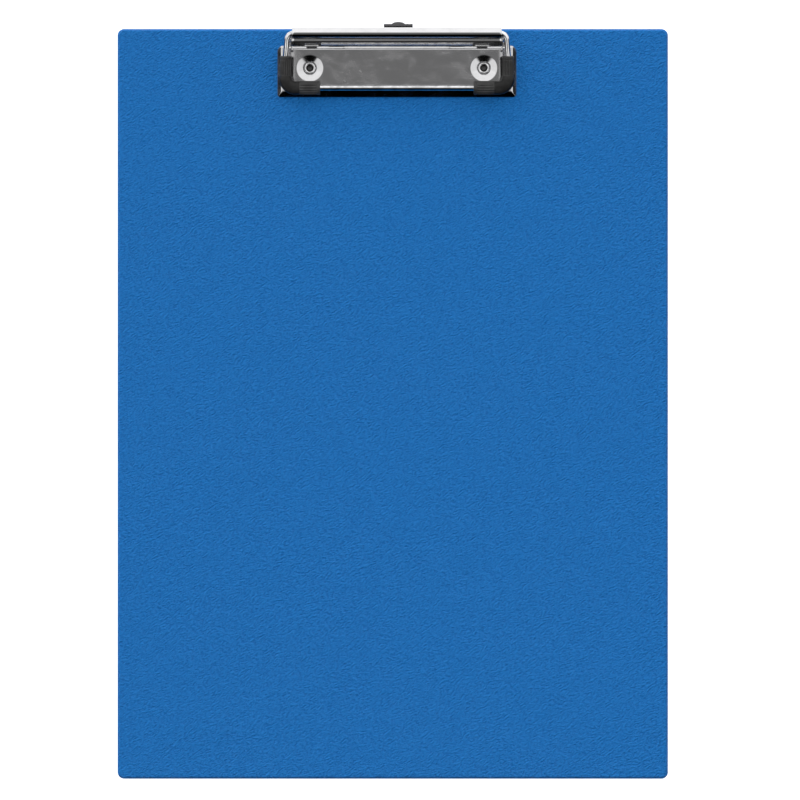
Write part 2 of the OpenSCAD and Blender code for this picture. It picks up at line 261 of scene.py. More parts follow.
def plate_from_outline(name, outline, holes, thickness, to_world, bevel=0.1):
    """A flat plate with round holes. to_world turns (a, b, height) in millimetres into metres."""
    bm = bmesh.new()
    edges = []
    for loop in [outline] + holes:
        verts = [bm.verts.new((a, b, 0)) for a, b in loop]
        edges += [bm.edges.new((verts[i - 1], verts[i])) for i in range(len(verts))]
    bmesh.ops.triangle_fill(bm, use_beauty=True, edges=edges)
    bmesh.ops.dissolve_limit(bm, angle_limit=0.01, verts=bm.verts, edges=bm.edges)
    made = bmesh.ops.extrude_face_region(bm, geom=bm.faces[:])
    for v in [g for g in made["geom"] if isinstance(g, bmesh.types.BMVert)]:
        v.co.z += thickness
    mesh = bpy.data.meshes.new(name)
    bm.to_mesh(mesh)
    bm.free()
    co = np.array([v.co[:] for v in mesh.vertices])
    for v, p in zip(mesh.vertices, to_world(co)):
        v.co = p
    obj = bpy.data.objects.new(name, mesh)
    bpy.context.scene.collection.objects.link(obj)
    fix_normals(obj)
    round_edges(obj, bevel, 2, 50)
    bpy.context.view_layer.update()
    bake_modifiers(obj)
    return obj


# ---------------------------------------------------------------- materials


class Finish:
    """A node material around one shader, with short calls for the nodes used here."""

    def __init__(self, name, **inputs):
        self.material = bpy.data.materials.new(name)
        self.material.use_nodes = True
        self.tree = self.material.node_tree
        self.shader = self.tree.nodes["Principled BSDF"]
        for key, value in inputs.items():
            self.shader.inputs[key.replace("_", " ")].default_value = value
        self.place = self.add("ShaderNodeTexCoord").outputs["Object"]

    def add(self, kind, inputs=None, **settings):
        node = self.tree.nodes.new(kind)
        for key, value in settings.items():
            setattr(node, key, value)
        for key, value in (inputs or {}).items():
            if isinstance(value, bpy.types.NodeSocket):
                self.tree.links.new(value, node.inputs[key])
            else:
                node.inputs[key].default_value = value
        return node

    def mapped(self, scale, rotation=(0, 0, 0)):
        """Object coordinates, turned and then scaled to so many repeats in a millimetre."""
        turned = self.add("ShaderNodeMapping", {"Vector": self.place, "Rotation": rotation})
        sizes = tuple(s / MM for s in scale)
        return self.add(
            "ShaderNodeMapping", {"Vector": turned.outputs[0], "Scale": sizes}
        ).outputs[0]

    def noise(self, scale, detail=3.0, roughness=0.55, distortion=0.0, rotation=(0, 0, 0)):
        where = self.mapped(scale, rotation)
        node = self.add(
            "ShaderNodeTexNoise",
            {"Vector": where, "Scale": 1.0, "Detail": detail, "Roughness": roughness,
             "Distortion": distortion},
        )
        return node.outputs["Fac"]

    def ranged(self, value, low, high, out_low, out_high):
        node = self.add(
            "ShaderNodeMapRange",
            {"Value": value, "From Min": low, "From Max": high, "To Min": out_low, "To Max": out_high},
            interpolation_type="SMOOTHSTEP",
        )
        return node.outputs[0]

    def math(self, operation, a, b):
        return self.add("ShaderNodeMath", {0: a, 1: b}, operation=operation).outputs[0]

    def mixed(self, factor, a, b):
        node = self.add("ShaderNodeMix", data_type="RGBA")
        for key, value in (("Factor", factor), ("A", a), ("B", b)):
            socket = [s for s in node.inputs if s.name == key and s.enabled][0]
            if isinstance(value, bpy.types.NodeSocket):
                self.tree.links.new(value, socket)
            else:
                socket.default_value = value
        return [s for s in node.outputs if s.enabled][0]

    def bump(self, height, distance, strength=1.0, under=None):
        node = self.add(
            "ShaderNodeBump",
            {"Height": height, "Distance": distance * MM, "Strength": strength},
        )
        if under is not None:
            self.tree.links.new(under, node.inputs["Normal"])
        return node.outputs[0]

    def use(self, **sockets):
        for key, value in sockets.items():
            self.tree.links.new(value, self.shader.inputs[key.replace("_", " ")])
        return self.material


def grey(v):
    return (v, v, v, 1)


def leather_film():
    """Blue plastic film with a fine pressed leather grain that runs up to the right."""
    f = Finish("blue_leather_film", Specular_IOR_Level=0.2)
    turn = (0, 0, math.radians(-36))
    ridges = f.noise((0.88, 1.85, 1.5), detail=2, roughness=0.45, distortion=0.35, rotation=turn)
    cells = f.add(
        "ShaderNodeTexVoronoi",
        {"Vector": f.mapped((1.15, 2.15, 1.6), turn), "Scale": 1.0, "Smoothness": 0.6, "Randomness": 1.0},
        feature="SMOOTH_F1",
    ).outputs["Distance"]
    fine = f.noise((2.4, 3.4, 3), detail=3, rotation=turn)
    height = f.math("ADD", f.math("MULTIPLY", ridges, 1.6), f.math("MULTIPLY", cells, -0.5))
    full = f.math("ADD", height, f.math("MULTIPLY", fine, 0.12))
    grain = f.bump(full, 0.54, 1.0)
    broad = f.noise((0.012, 0.02, 0.02), detail=2)
    normal = f.bump(broad, 0.25, 0.5, under=grain)
    in_grain = f.ranged(full, 0.25, 0.85, 0.0, 1.0)
    colour = f.mixed(in_grain, (0.0038, 0.119, 0.402, 1), (0.0105, 0.174, 0.518, 1))
    patchy = f.mixed(f.ranged(broad, 0.3, 0.7, 0.0, 0.15), colour, (0.0078, 0.16, 0.495, 1))
    rough = f.math("ADD", f.ranged(fine, 0.3, 0.7, 0.38, 0.5), f.ranged(broad, 0.3, 0.7, -0.03, 0.05))
    return f.use(Base_Color=patchy, Roughness=rough, Normal=normal)


def pressed_board():
    """Raw grey paper board with fibres and flecks."""
    f = Finish("grey_pressed_board", Specular_IOR_Level=0.15)
    fibre = f.noise((1.5, 0.25, 4), detail=6, roughness=0.7, distortion=0.6)
    fleck = f.noise((3, 3, 3), detail=4)
    base = f.mixed(f.ranged(fibre, 0.35, 0.65, 0, 1), (0.27, 0.24, 0.2, 1), (0.4, 0.36, 0.3, 1))
    colour = f.mixed(f.ranged(fleck, 0.66, 0.7, 0, 0.7), base, (0.12, 0.1, 0.09, 1))
    return f.use(
        Base_Color=colour,
        Roughness=f.ranged(fleck, 0.3, 0.7, 0.85, 0.96),
        Normal=f.bump(fibre, 0.06, 0.8),
    )


def plated(name, tint, low, high, streaks):
    """Bright nickel plate: faint rolling streaks, handling marks and small scratches."""
    f = Finish(name, Metallic=1.0)
    streak = f.noise(streaks, detail=4, roughness=0.6)
    smudge = f.noise((0.12, 0.16, 0.16), detail=3, distortion=0.8)
    scratch = f.noise((0.5, 9, 9), detail=2, rotation=(0, 0, math.radians(28)))
    marks = f.ranged(scratch, 0.68, 0.72, 0.0, 0.12)
    rough = f.math("ADD", f.ranged(smudge, 0.35, 0.7, low, high), marks)
    worn = tuple(c * 0.86 for c in tint) + (1,)
    colour = f.mixed(f.ranged(smudge, 0.3, 0.75, 0.0, 0.5), tint + (1,), worn)
    return f.use(Base_Color=colour, Roughness=rough, Normal=f.bump(streak, 0.004, 0.35))


def drawn_wire(name, tint, low, high):
    """Drawn spring wire under oil: fine lines and darker patches."""
    f = Finish(name, Metallic=1.0)
    line = f.noise((0.4, 6, 6), detail=3)
    patch = f.noise((0.4, 0.4, 0.4), detail=3)
    dark = tuple(c * 0.55 for c in tint) + (1,)
    colour = f.mixed(f.ranged(patch, 0.35, 0.7, 0, 0.8), tint + (1,), dark)
    return f.use(
        Base_Color=colour,
        Roughness=f.ranged(line, 0.3, 0.7, low, high),
        Normal=f.bump(line, 0.006, 0.4),
    )


def moulded_rubber(name, dark, light):
    """Black moulded rubber: satin skin, faint pores and a trace of dust."""
    f = Finish(name, Specular_IOR_Level=0.25)
    pores = f.noise((5, 5, 5), detail=4, roughness=0.65)
    cloud = f.noise((0.25, 0.25, 0.25), detail=3)
    colour = f.mixed(f.ranged(cloud, 0.35, 0.75, 0, 1), grey(dark), grey(light))
    dusty = f.mixed(f.ranged(pores, 0.62, 0.74, 0, 0.3), colour, (0.06, 0.06, 0.06, 1))
    return f.use(
        Base_Color=dusty,
        Roughness=f.ranged(cloud, 0.3, 0.7, 0.42, 0.6),
        Normal=f.bump(pores, 0.03, 0.5),
    )


# ---------------------------------------------------------------- board

CORNER_R = 2.7
ROUNDING_R = 0.5
MID_Z = BOARD_T / 2
RIVET_HOLE_R = 1.85


def board_loop(inset, z, wave):
    """Closed loop of points round the board, in metres; wave is the height of its ripple."""
    hw, hl = BOARD_W / 2 - inset, BOARD_L / 2 - inset
    r = max(CORNER_R - inset, 0.2)
    points = []
    for cx, cy, a in ((1, 1, 0), (-1, 1, 90), (-1, -1, 180), (1, -1, 270)):
        centre = (cx * (hw - r), cy * (hl - r))
        turns = [math.radians(a + 9 * k) for k in range(11)]
        corner = [(centre[0] + r * math.cos(t), centre[1] + r * math.sin(t)) for t in turns]
        if points:
            points += straight(points[-1], corner[0])
        points += corner
    points += straight(points[-1], points[0])
    out = []
    for k, (x, y) in enumerate(points):
        ripple = wave * (math.sin(0.83 * k) + 0.7 * math.sin(0.311 * k + 1) + 0.5 * math.sin(2.1 * k))
        out.append((x * MM, y * MM, (z + ripple) * MM))
    return out


def straight(a, b):
    """Points between two corners, the same number on every loop."""
    count = 150 if abs(a[1] - b[1]) > abs(a[0] - b[0]) else 110
    return [(a[0] + (b[0] - a[0]) * k / count, a[1] + (b[1] - a[1]) * k / count) for k in range(1, count)]


def rivet_loop(side, r, z, count=48):
    """Ring of points round a rivet, in metres."""
    x, y = CLIP_X + side * RIVET_U * MM, TOP_Y + RIVET_V * MM
    angles = [2 * math.pi * k / count for k in range(count)]
    return [(x + r * MM * math.cos(a), y + r * MM * math.sin(a), z * MM) for a in angles]


def film_cover(name, rim, cup):
    """Thin film: rim lists (inset, height, waviness) from the face round the edge to the inside,
    and cup lists (radius, height) at each rivet, from the face to the inside."""
    bm = bmesh.new()
    groups = [[board_loop(*r) for r in rim]]
    groups += [[rivet_loop(side, *c) for c in cup] for side in (LEFT, RIGHT)]
    firsts, lasts = [], []
    for loops in groups:
        rings = [[bm.verts.new(p) for p in loop] for loop in loops]
        for lower, upper in zip(rings, rings[1:]):
            for k in range(len(lower)):
                bm.faces.new((lower[k - 1], lower[k], upper[k], upper[k - 1]))
        for ring, ends in ((rings[0], firsts), (rings[-1], lasts)):
            ends += [bm.edges.get((ring[k - 1], ring[k])) for k in range(len(ring))]
    bmesh.ops.triangle_fill(bm, use_beauty=True, edges=firsts)
    bmesh.ops.triangle_fill(bm, use_beauty=True, edges=lasts)
    bmesh.ops.recalc_face_normals(bm, faces=bm.faces)
    mesh = bpy.data.meshes.new(name)
    bm.to_mesh(mesh)
    bm.free()
    obj = bpy.data.objects.new(name, mesh)
    bpy.context.scene.collection.objects.link(obj)
    shade(obj, 50)
    return obj


def rim_profile(flip):
    """The film's edge, from its outer face over the rounding and the welded bead to its inner face."""
    outer = [(2.2, 2.6, 0), (1.3, 2.6, 0)]
    rounding = [math.radians(a) for a in (0, 15, 35, 55, 75, 90)]
    outer += [(1.02 - ROUNDING_R * math.sin(a), 2.1 + ROUNDING_R * math.cos(a), 0) for a in rounding]
    bead = [
        (0.5, 1.78, 0.01), (0.42, 1.64, 0.02), (0.25, 1.59, 0.03),
        (0.08, 1.52, 0.03), (0.0, 1.42, 0.02), (0.02, 1.31, 0),
    ]
    inner = [(0.75, 1.31, 0), (0.77, 2.1, 0), (1.05, 2.35, 0), (2.2, 2.35, 0)]
    profile = outer + bead + inner
    return [(i, 2 * MID_Z - z if flip else z, w) for i, z, w in profile]


FRONT_CUP = [(2.6, 2.6), (2.15, 2.6), (1.95, 2.58), (RIVET_HOLE_R, 2.5), (RIVET_HOLE_R, 2.35), (2.6, 2.35)]
BACK_CUP = [
    (5.3, 0), (4.65, 0), (4.48, 0.03), (4.37, 0.14), (4.35, 0.3), (4.35, 0.55), (4.3, 0.66),
    (4.18, 0.7), (RIVET_HOLE_R, 0.7), (RIVET_HOLE_R, 0.95), (4.35, 0.95), (4.55, 0.88),
    (4.6, 0.7), (4.62, 0.4), (4.8, 0.25), (5.3, 0.25),
]

# ---------------------------------------------------------------- base plate

WING_V, STEP_V, STEP_RUN = -7.0, -8.3, 0.7
NECK_HALF = 46.0
SEAT_R, SEAT_FLOOR_R, SEAT_STEP = 5.4, 2.65, 1.45
NOTCH_FROM, NOTCH_TO = -5.9, 7.1
FLANGE_RUN, FLANGE_FOOT_W, FLANGE_RISE = 1.8, 0.4, 1.6
FRONT_RUN, FRONT_RISE = 3.0, 2.2
FLAT_HALF = 42
EDGE_R = 0.45
SEAM_U, BAND_W = 42.5, 7.2
SHELL_HOLE_R = 1.8


def plate_outline():
    """Half of the plate's plan outline, from the front middle to the rear middle."""
    front = [(0, FRONT_V), (PLATE_HALF, FRONT_V), (PLATE_HALF, WING_V), (NECK_HALF, WING_V)]
    rear = [(NECK_HALF, REAR_V), (0, REAR_V)]
    return rounded_path(front + rear, (0, 1.5, 2.5, 0.35, 1.5, 0), step=6)


def half_width(v, outline):
    """Width of the plan outline at v."""
    widths = [
        a[0] + (b[0] - a[0]) * (v - a[1]) / (b[1] - a[1])
        for a, b in zip(outline, outline[1:])
        if min(a[1], b[1]) - 1e-9 <= v <= max(a[1], b[1]) + 1e-9 and abs(a[1] - b[1]) > 1e-9
    ]
    return max(widths) if widths else 0


def distance_to(outline, u, v):
    """Distance of each point to a polyline."""
    best = np.full(u.shape, 1e9)
    for a, b in zip(outline, outline[1:]):
        d = np.array(b) - np.array(a)
        t = np.clip(((u - a[0]) * d[0] + (v - a[1]) * d[1]) / max(d @ d, 1e-12), 0, 1)
        best = np.minimum(best, np.hypot(u - a[0] - t * d[0], v - a[1] - t * d[1]))
    return best


def plate_height(u, v, edge):
    """Height of the plate's outer face above the board."""
    step = np.clip((v - STEP_V) / STEP_RUN, 0, 1)
    top = PLATE_H - (PLATE_H - PLATE_REAR_H) * step
    side = PLATE_HALF - np.abs(u)
    flange = FLANGE_FOOT_W + side * FLANGE_RISE / FLANGE_RUN
    shoulder = 2.0 + (side - FLANGE_RUN) * 0.6 / (PLATE_HALF - FLANGE_RUN - FLAT_HALF)
    front = FLANGE_FOOT_W + (v - FRONT_V) * FRONT_RISE / FRONT_RUN
    h = smooth_min(top, shoulder, 0.12)
    h = smooth_min(h, flange, 0.25)
    h = smooth_min(h, front, 0.3)
    r = np.hypot(np.abs(u) - RIVET_U, v - RIVET_V)
    wall = PLATE_T + np.clip((r - SEAT_FLOOR_R + 0.12) / 0.24, 0, 1) * (SEAT_STEP - PLATE_T)
    cone = SEAT_STEP + (r - SEAT_FLOOR_R) * (PLATE_H - SEAT_STEP) / (SEAT_R - SEAT_FLOOR_R)
    h = smooth_min(h, np.where(r < SEAT_FLOOR_R + 0.12, wall, cone), 0.14)
    er = np.minimum(EDGE_R, 0.6 * h)
    e = np.clip(edge, 0, er)
    return h - er + np.sqrt(np.maximum(er * er - (er - e) ** 2, 0))


def spaced(*runs):
    """Values from runs of (start, end, spacing)."""
    out = []
    for a, b, s in runs:
        n = max(1, round(abs(b - a) / s))
        out += [a + (b - a) * k / n for k in range(n)]
    return out + [runs[-1][1]]


def plate_shell():
    """The plate's pressed sheet: a grid of heights, a skirt round its border and the sheet's thickness."""
    outline = plate_outline()
    rows = spaced(
        (FRONT_V, FRONT_V + 0.7, 0.1), (FRONT_V + 0.7, -25, 0.2), (-25, -22.3, 0.35), (-22.3, -10.3, 0.16),
        (-10.3, -8.2, 0.3), (-8.2, WING_V - 0.12, 0.1), (WING_V - 0.12, WING_V - 0.004, 0.04),
        (WING_V + 0.004, -2.2, 0.3), (-2.2, REAR_V, 0.07),
    )
    edge = spaced((0, 0.7, 0.07), (0.7, 2.6, 0.2), (2.6, BAND_W, 0.3))
    middle = spaced((SEAM_U, 29.8, 0.16), (29.8, 0, 0.9))
    cols = len(edge) + len(middle)
    u = np.zeros((len(rows), cols))
    v = np.tile(np.array(rows)[:, None], (1, cols))
    for i, y in enumerate(rows):
        w = half_width(y, outline)
        stretch = (w - SEAM_U) / BAND_W
        u[i] = [w - e * stretch for e in edge[:-1]] + [SEAM_U] + middle
    h = plate_height(u, v, distance_to(outline, u, v))
    u = np.concatenate([u, -u[:, -2::-1]], axis=1)
    v = np.concatenate([v, v[:, -2::-1]], axis=1)
    h = np.concatenate([h, h[:, -2::-1]], axis=1)
    n, m = u.shape
    verts = np.stack([u, v, h], axis=-1).reshape(-1, 3)
    r = np.hypot(np.abs(u) - RIVET_U, v - RIVET_V)
    faces = grid_faces(n, m, keep=lambda i, j: min(r[i, j], r[i + 1, j + 1]) > SHELL_HOLE_R)
    border = list(range(m)) + [i * m + m - 1 for i in range(1, n)]
    border += [(n - 1) * m + j for j in range(m - 2, -1, -1)] + [i * m for i in range(n - 2, 0, -1)]
    rings = [border]
    count = len(verts)
    extra = []
    for share in (0.1, 1.0):
        ring = []
        for k in border:
            p = verts[k]
            extra.append((p[0], p[1], p[2] + (0.02 - p[2]) * share))
            ring.append(count)
            count += 1
        rings.append(ring)
    verts = np.concatenate([verts, np.array(extra)])
    for level, (upper, lower) in enumerate(zip(rings, rings[1:])):
        for k in range(len(border)):
            a, b = upper[k - 1], upper[k]
            at_rear = level == 1 and verts[a][1] > REAR_V - 0.01
            middle_u = (verts[a][0] + verts[b][0]) / 2
            if not (at_rear and NOTCH_FROM < middle_u < NOTCH_TO):
                faces.append((a, b, lower[k], lower[k - 1]))
    obj = link_mesh("base_plate_shell", clip_to_world(verts), faces)
    fix_normals(obj)
    face_up(obj)
    thicken(obj, PLATE_T - 0.1, -1, even=False)
    shade(obj, 40)
    return obj


def face_up(obj):
    """Turns a sheet's faces so that most of them look up."""
    up = sum(p.normal.z * p.area for p in obj.data.polygons)
    if up < 0:
        obj.data.flip_normals()


def sheet_strip(name, path, stations, thickness, keep=None, bevel=0.08):
    """Sheet bent along a path of (v, w) points and drawn across stations of u."""
    verts = [(u, p[0], p[1]) for u in stations for p in path]
    obj = link_mesh(name, clip_to_world(verts), grid_faces(len(stations), len(path), keep))
    fix_normals(obj)
    thicken(obj, thickness, 0, bevel, 2)
    shade(obj, 35)
    return obj


def hinge_lug(side):
    """Strip of sheet that rises from the plate and rolls round the rod."""
    root = rounded_path([(-4.3, 1.52), (ROD_V - 1.42, 1.52), (ROD_V - 1.42, ROD_W)], (0, 0.5, 0))
    path = evenly(root, 0.4) + arc((ROD_V, ROD_W), 1.42, 180, -130, 9)[1:]
    stations = [side * LUG_U + LUG_W * (k / 6 - 0.5) for k in range(7)]
    return sheet_strip("lug", path, stations, 0.7, bevel=0.12)


# ---------------------------------------------------------------- lever

FOOT, KNEE, CREST = (-7.2, 3.15), (-6.95, 5.0), (-5.4, 6.65)
WINDOW_W = LUG_W + 0.8
CURL_R = TUBE_R - 0.36


def hood_path():
    """Up the skirt, back over the ledge, then under, round and over the wire as a curl."""
    curl = arc((TUBE_V, TUBE_W), CURL_R, 270, 270 + 285, 6)
    bends = rounded_path([FOOT, KNEE, CREST, curl[0]], (0, 1.2, 0.6, 0), step=8)
    return evenly(bends, 0.35)[:-1] + curl


def in_window(p):
    """Whether a point of the hood's path lies in the windows that clear the lugs."""
    return KNEE[0] - 0.6 < p[0] < KNEE[0] + 1 and KNEE[1] - 1.2 < p[1] < KNEE[1] + 1.4


def lever_hood():
    """The lever's long sheet, from skirt to rolled tube, with its two windows."""
    path = hood_path()
    cuts = sorted(s * LUG_U + e * WINDOW_W / 2 for s in (LEFT, RIGHT) for e in (LEFT, RIGHT))
    marks = [-LEVER_HALF - 0.2] + cuts + [LEVER_HALF + 0.2]
    stations = []
    for a, b in zip(marks, marks[1:]):
        n = max(1, round((b - a) / 1.35))
        stations += [a + (b - a) * k / n for k in range(n)]
    stations.append(marks[-1])

    def keep(i, j):
        u = (stations[i] + stations[i + 1]) / 2
        across = abs(abs(u) - LUG_U) < WINDOW_W / 2
        return not (across and in_window(path[j]) and in_window(path[j + 1]))

    return sheet_strip("hood", path, stations, LEVER_T, keep, 0.1)


def lever_cheek(side):
    """End cheek of the lever, with the rod's hole and a nose over the wire's leg."""
    outline = rounded_path(
        [(-2.3, 6.95), (-5.55, 6.98), (-7.25, 5.15), (-7.35, 5.05), (-9.65, 5.05),
         (-9.65, 3.55), (-7.3, 3.15), (-4.5, 2.55), (-1.3, 4.2), (-1.9, 6.2)],
        (0.3, 0.7, 0.05, 0.05, 0.74, 0.74, 0.8, 1.6, 0.9, 0.6),
        closed=True, step=9,
    )
    hole = arc((ROD_V, ROD_W), ROD_R + 0.05, 0, 350, 10)
    start = LEVER_HALF if side > 0 else -LEVER_HALF - LEVER_T

    def to_world(p):
        return clip_to_world(np.stack([p[:, 2] + start, p[:, 0], p[:, 1]], axis=-1))

    obj = plate_from_outline("cheek", outline, [hole], LEVER_T, to_world, 0.16)
    shade(obj, 35)
    return obj


# ---------------------------------------------------------------- jaw wire and grips

EXIT_U, EXIT_R, LEAN, EASE_R = 42.3, 3.4, 4.5, 1.0
JAW_LEN = math.dist((TUBE_V, TUBE_W), (BAR_V, BAR_W))
JAW_TILT = math.atan2(TUBE_W - BAR_W, TUBE_V - BAR_V)


def jaw_to_world(points):
    """Points (x, y, z) of the jaw's tilted plane, origin on the tube's axis, to metres."""
    p = np.asarray(points, float)
    c, s = math.cos(JAW_TILT), math.sin(JAW_TILT)
    v = TUBE_V + p[:, 1] * c - p[:, 2] * s
    w = TUBE_W + p[:, 1] * s + p[:, 2] * c
    return clip_to_world(np.stack([p[:, 0], v, w], axis=-1))


def wire_half():
    """Middle line of the right half of the wire: from inside the tube to the middle of the bar."""
    a = math.radians(LEAN)
    out = arc((EXIT_U, -EXIT_R), EXIT_R, 90, LEAN, 4)
    run = (LEG_U - EASE_R * (1 - math.cos(a)) - out[-1][0]) / math.tan(a)
    ease = arc((LEG_U - EASE_R, out[-1][1] - run - EASE_R * math.sin(a)), EASE_R, LEAN, 0, 1)
    corner = arc((LEG_U - BEND_R, BEND_R - JAW_LEN), BEND_R, 0, -90, 4)
    return evenly([(EXIT_U - 6, 0)] + out + ease + corner + [(0, -JAW_LEN)], 0.6)


def rings_along(path, sections):
    """Rings of (outwards, up) offsets set square across a path in the jaw's plane."""
    verts = []
    for k, p in enumerate(path):
        a, b = path[max(k - 1, 0)], path[min(k + 1, len(path) - 1)]
        along = np.array([b[0] - a[0], b[1] - a[1]])
        along /= np.linalg.norm(along)
        across = (-along[1], along[0])
        verts += [(p[0] + o * across[0], p[1] + o * across[1], up) for o, up in sections[k]]
    return verts


def jaw_wire():
    """The bent wire: both halves of its middle line, with a round section and eased ends."""
    half = wire_half()
    path = [(-x, y) for x, y in half[:-1]] + half[::-1]
    angles = [2 * math.pi * k / 28 for k in range(28)]
    ring = [(WIRE_R * math.cos(a), WIRE_R * math.sin(a)) for a in angles]
    small = [(0.8 * a, 0.8 * b) for a, b in ring]
    sections = [small] + [ring] * (len(path) - 2) + [small]
    faces = grid_faces(len(path), len(ring), wrap=True)
    last = (len(path) - 1) * len(ring)
    faces += [tuple(range(len(ring))), tuple(range(last, last + len(ring)))]
    obj = link_mesh("jaw_wire_bent", jaw_to_world(rings_along(path, sections)), faces)
    fix_normals(obj)
    shade(obj, 40)
    return obj


GRIP_FROM, COLLAR, RIB_LEN = 9.6, 1.3, 7.1
GRIP_END_U, RIBS_END_U = 31.9, 40.5
GROOVES, GROOVE_DEPTH = 14, 0.35
BORE_R = WIRE_R + 0.06


def grip_stations():
    """Points along the sleeve as (x, y, radius, groove depth, squareness)."""
    leg_end = JAW_LEN - BEND_R
    out = []

    def add(x, y, r, groove=0.0, square=0.0):
        out.append((x, y, r, groove, square))

    y0 = GRIP_FROM
    for d, r in ((0, 2.2), (0.06, 2.38), (0.2, 2.5), (0.6, 2.5), (1.1, 2.5), (1.24, 2.42), (1.3, 2.25)):
        add(LEG_U, -y0 - d, r)
    y0 += COLLAR
    for d in (0.12, 0.3):
        add(LEG_U, -y0 - d, 2.22 + d * 0.5, d)
    for k in range(1, 14):
        add(LEG_U, -y0 - 0.3 - (RIB_LEN - 0.9) * k / 14, 2.4, 1.0)
    for d, groove in ((0.45, 0.9), (0.2, 0.3), (0.05, 0.0)):
        add(LEG_U, -y0 - RIB_LEN + d, 2.42, groove)
    top = y0 + RIB_LEN
    for k in range(5):
        share = k / 4
        add(LEG_U, -top - (leg_end - top) * share, 2.45 + 0.3 * share, 0, share)
    for x, y in arc((LEG_U - BEND_R, -leg_end), BEND_R, -6, -84, 6):
        add(x, y, 2.82, 0, 1.0)
    start = LEG_U - BEND_R
    for k in range(1, 4):
        share = k / 4
        add(start + (RIBS_END_U - start) * share, -JAW_LEN, 2.85, 0, 1 - share)
    for d, groove in ((0.0, 0.0), (0.15, 0.3), (0.4, 0.9)):
        add(RIBS_END_U - d, -JAW_LEN, 2.86, groove)
    run = RIBS_END_U - GRIP_END_U - COLLAR
    for k in range(1, 14):
        add(RIBS_END_U - 0.4 - (run - 0.8) * k / 14, -JAW_LEN, 2.88, 1.0)
    end = GRIP_END_U + COLLAR
    for d, r, groove in ((0.3, 2.86, 0.9), (0.12, 2.8, 0.3), (0.0, 2.72, 0.0)):
        add(end + d, -JAW_LEN, r, groove)
    for d, r in ((0.08, 2.9), (0.2, 2.98), (0.6, 3.0), (1.1, 2.98), (1.24, 2.88), (1.3, 2.7)):
        add(end - d, -JAW_LEN, r)
    return out


def sleeve_ring(r, groove, square):
    """Section of a sleeve: round or blocky, with grooves along it."""
    sides = GROOVES * 6
    ring = []
    for k in range(sides):
        a = 2 * math.pi * k / sides
        c, s = math.cos(a), math.sin(a)
        power = 2 + 2.4 * square
        blocky = (abs(c) ** power + abs(s) ** power) ** (-1 / power)
        rr = r * (1 + (blocky - 1) * 0.55)
        cut = (0, 0, 0.35, 1, 0.35, 0)[k % 6]
        rr -= GROOVE_DEPTH * groove * cut
        ring.append((rr * c, rr * s))
    return ring


def grip(side):
    """Rubber sleeve: an outer skin and a bore, joined by a ring at each end."""
    stations = grip_stations()
    path = [(side * p[0], p[1]) for p in stations]
    skins = [sleeve_ring(*p[2:]) for p in stations]
    sides = len(skins[0])
    angles = [2 * math.pi * k / sides for k in range(sides)]
    bore = [(BORE_R * math.cos(a), BORE_R * math.sin(a)) for a in angles]
    count = len(path) * sides
    verts = rings_along(path, skins) + rings_along(path, [bore] * len(path))
    faces = grid_faces(len(path), sides, wrap=True)
    faces += [tuple(count + k for k in f) for f in faces]
    last = count - sides
    for k in range(sides):
        n = (k + 1) % sides
        faces.append((k, n, count + n, count + k))
        faces.append((last + k, last + n, count + last + n, count + last + k))
    obj = link_mesh("grip_sleeve", jaw_to_world(verts), faces)
    fix_normals(obj)
    shade(obj, 32)
    return obj


def paint_rib_sheen(sleeve, material):
    """Gives the ribbed parts and collars of a sleeve a lighter rubber: painted sheen for the highlights along
    their grooves.
    """
    sleeve.data.materials.append(material)
    leg_end = TOP_Y + (TUBE_V - (GRIP_FROM + COLLAR + RIB_LEN) * math.cos(JAW_TILT)) * MM
    for face in sleeve.data.polygons:
        on_bar = abs(face.center.x - CLIP_X) < RIBS_END_U * MM
        if on_bar or face.center.y > leg_end:
            face.material_index = 1


# ---------------------------------------------------------------- springs, rivets, rod and tab

SPRING_U, SPRING_PITCH, SPRING_TURNS = 22.0, 0.85, 7
SPRING_WIRE_R = 0.35
COIL_R = ROD_R + 0.1 + SPRING_WIRE_R
BASE_LEG, HOOD_LEG = (-78, 2.9), (90, 0.7)


def spring(side):
    """Torsion spring round the rod: one leg rests on the plate and the other pushes the hood."""
    first, last = BASE_LEG[0], HOOD_LEG[0] + 360 * SPRING_TURNS
    count = int((last - first) / 15)
    path = []
    for k in range(count + 1):
        a = first + (last - first) * k / count
        c, s = math.cos(math.radians(a)), math.sin(math.radians(a))
        u = side * (SPRING_U + SPRING_PITCH * (a - first) / 360)
        path.append((u, ROD_V + COIL_R * c, ROD_W + COIL_R * s))

    def leg(start, angle, length, sign):
        a = math.radians(angle)
        return [
            (start[0], start[1] + sign * length * t * math.sin(a), start[2] - sign * length * t * math.cos(a))
            for t in (1, 0.85, 0.6, 0.3, 0.12)
        ]

    base_leg = leg(path[0], *BASE_LEG, 1)
    hood_leg = leg(path[-1], *HOOD_LEG, -1)
    pts = np.array(base_leg + path + hood_leg[::-1])
    verts = []
    sides = 12
    for k, p in enumerate(pts):
        along = pts[min(k + 1, len(pts) - 1)] - pts[max(k - 1, 0)]
        along /= np.linalg.norm(along)
        across = np.cross(along, (1, 0, 0))
        across /= np.linalg.norm(across)
        up = np.cross(along, across)
        r = SPRING_WIRE_R * (0.7 if k in (0, len(pts) - 1) else 1)
        for j in range(sides):
            a = 2 * math.pi * j / sides
            verts.append(p + r * (math.cos(a) * across + math.sin(a) * up))
    faces = grid_faces(len(pts), sides, wrap=True)
    end = (len(pts) - 1) * sides
    faces += [tuple(range(sides)), tuple(range(end, end + sides))]
    obj = link_mesh("torsion_spring", clip_to_world(verts), faces)
    fix_normals(obj)
    shade(obj, 50)
    return obj, clip_to_world([pts[0], pts[-1]])


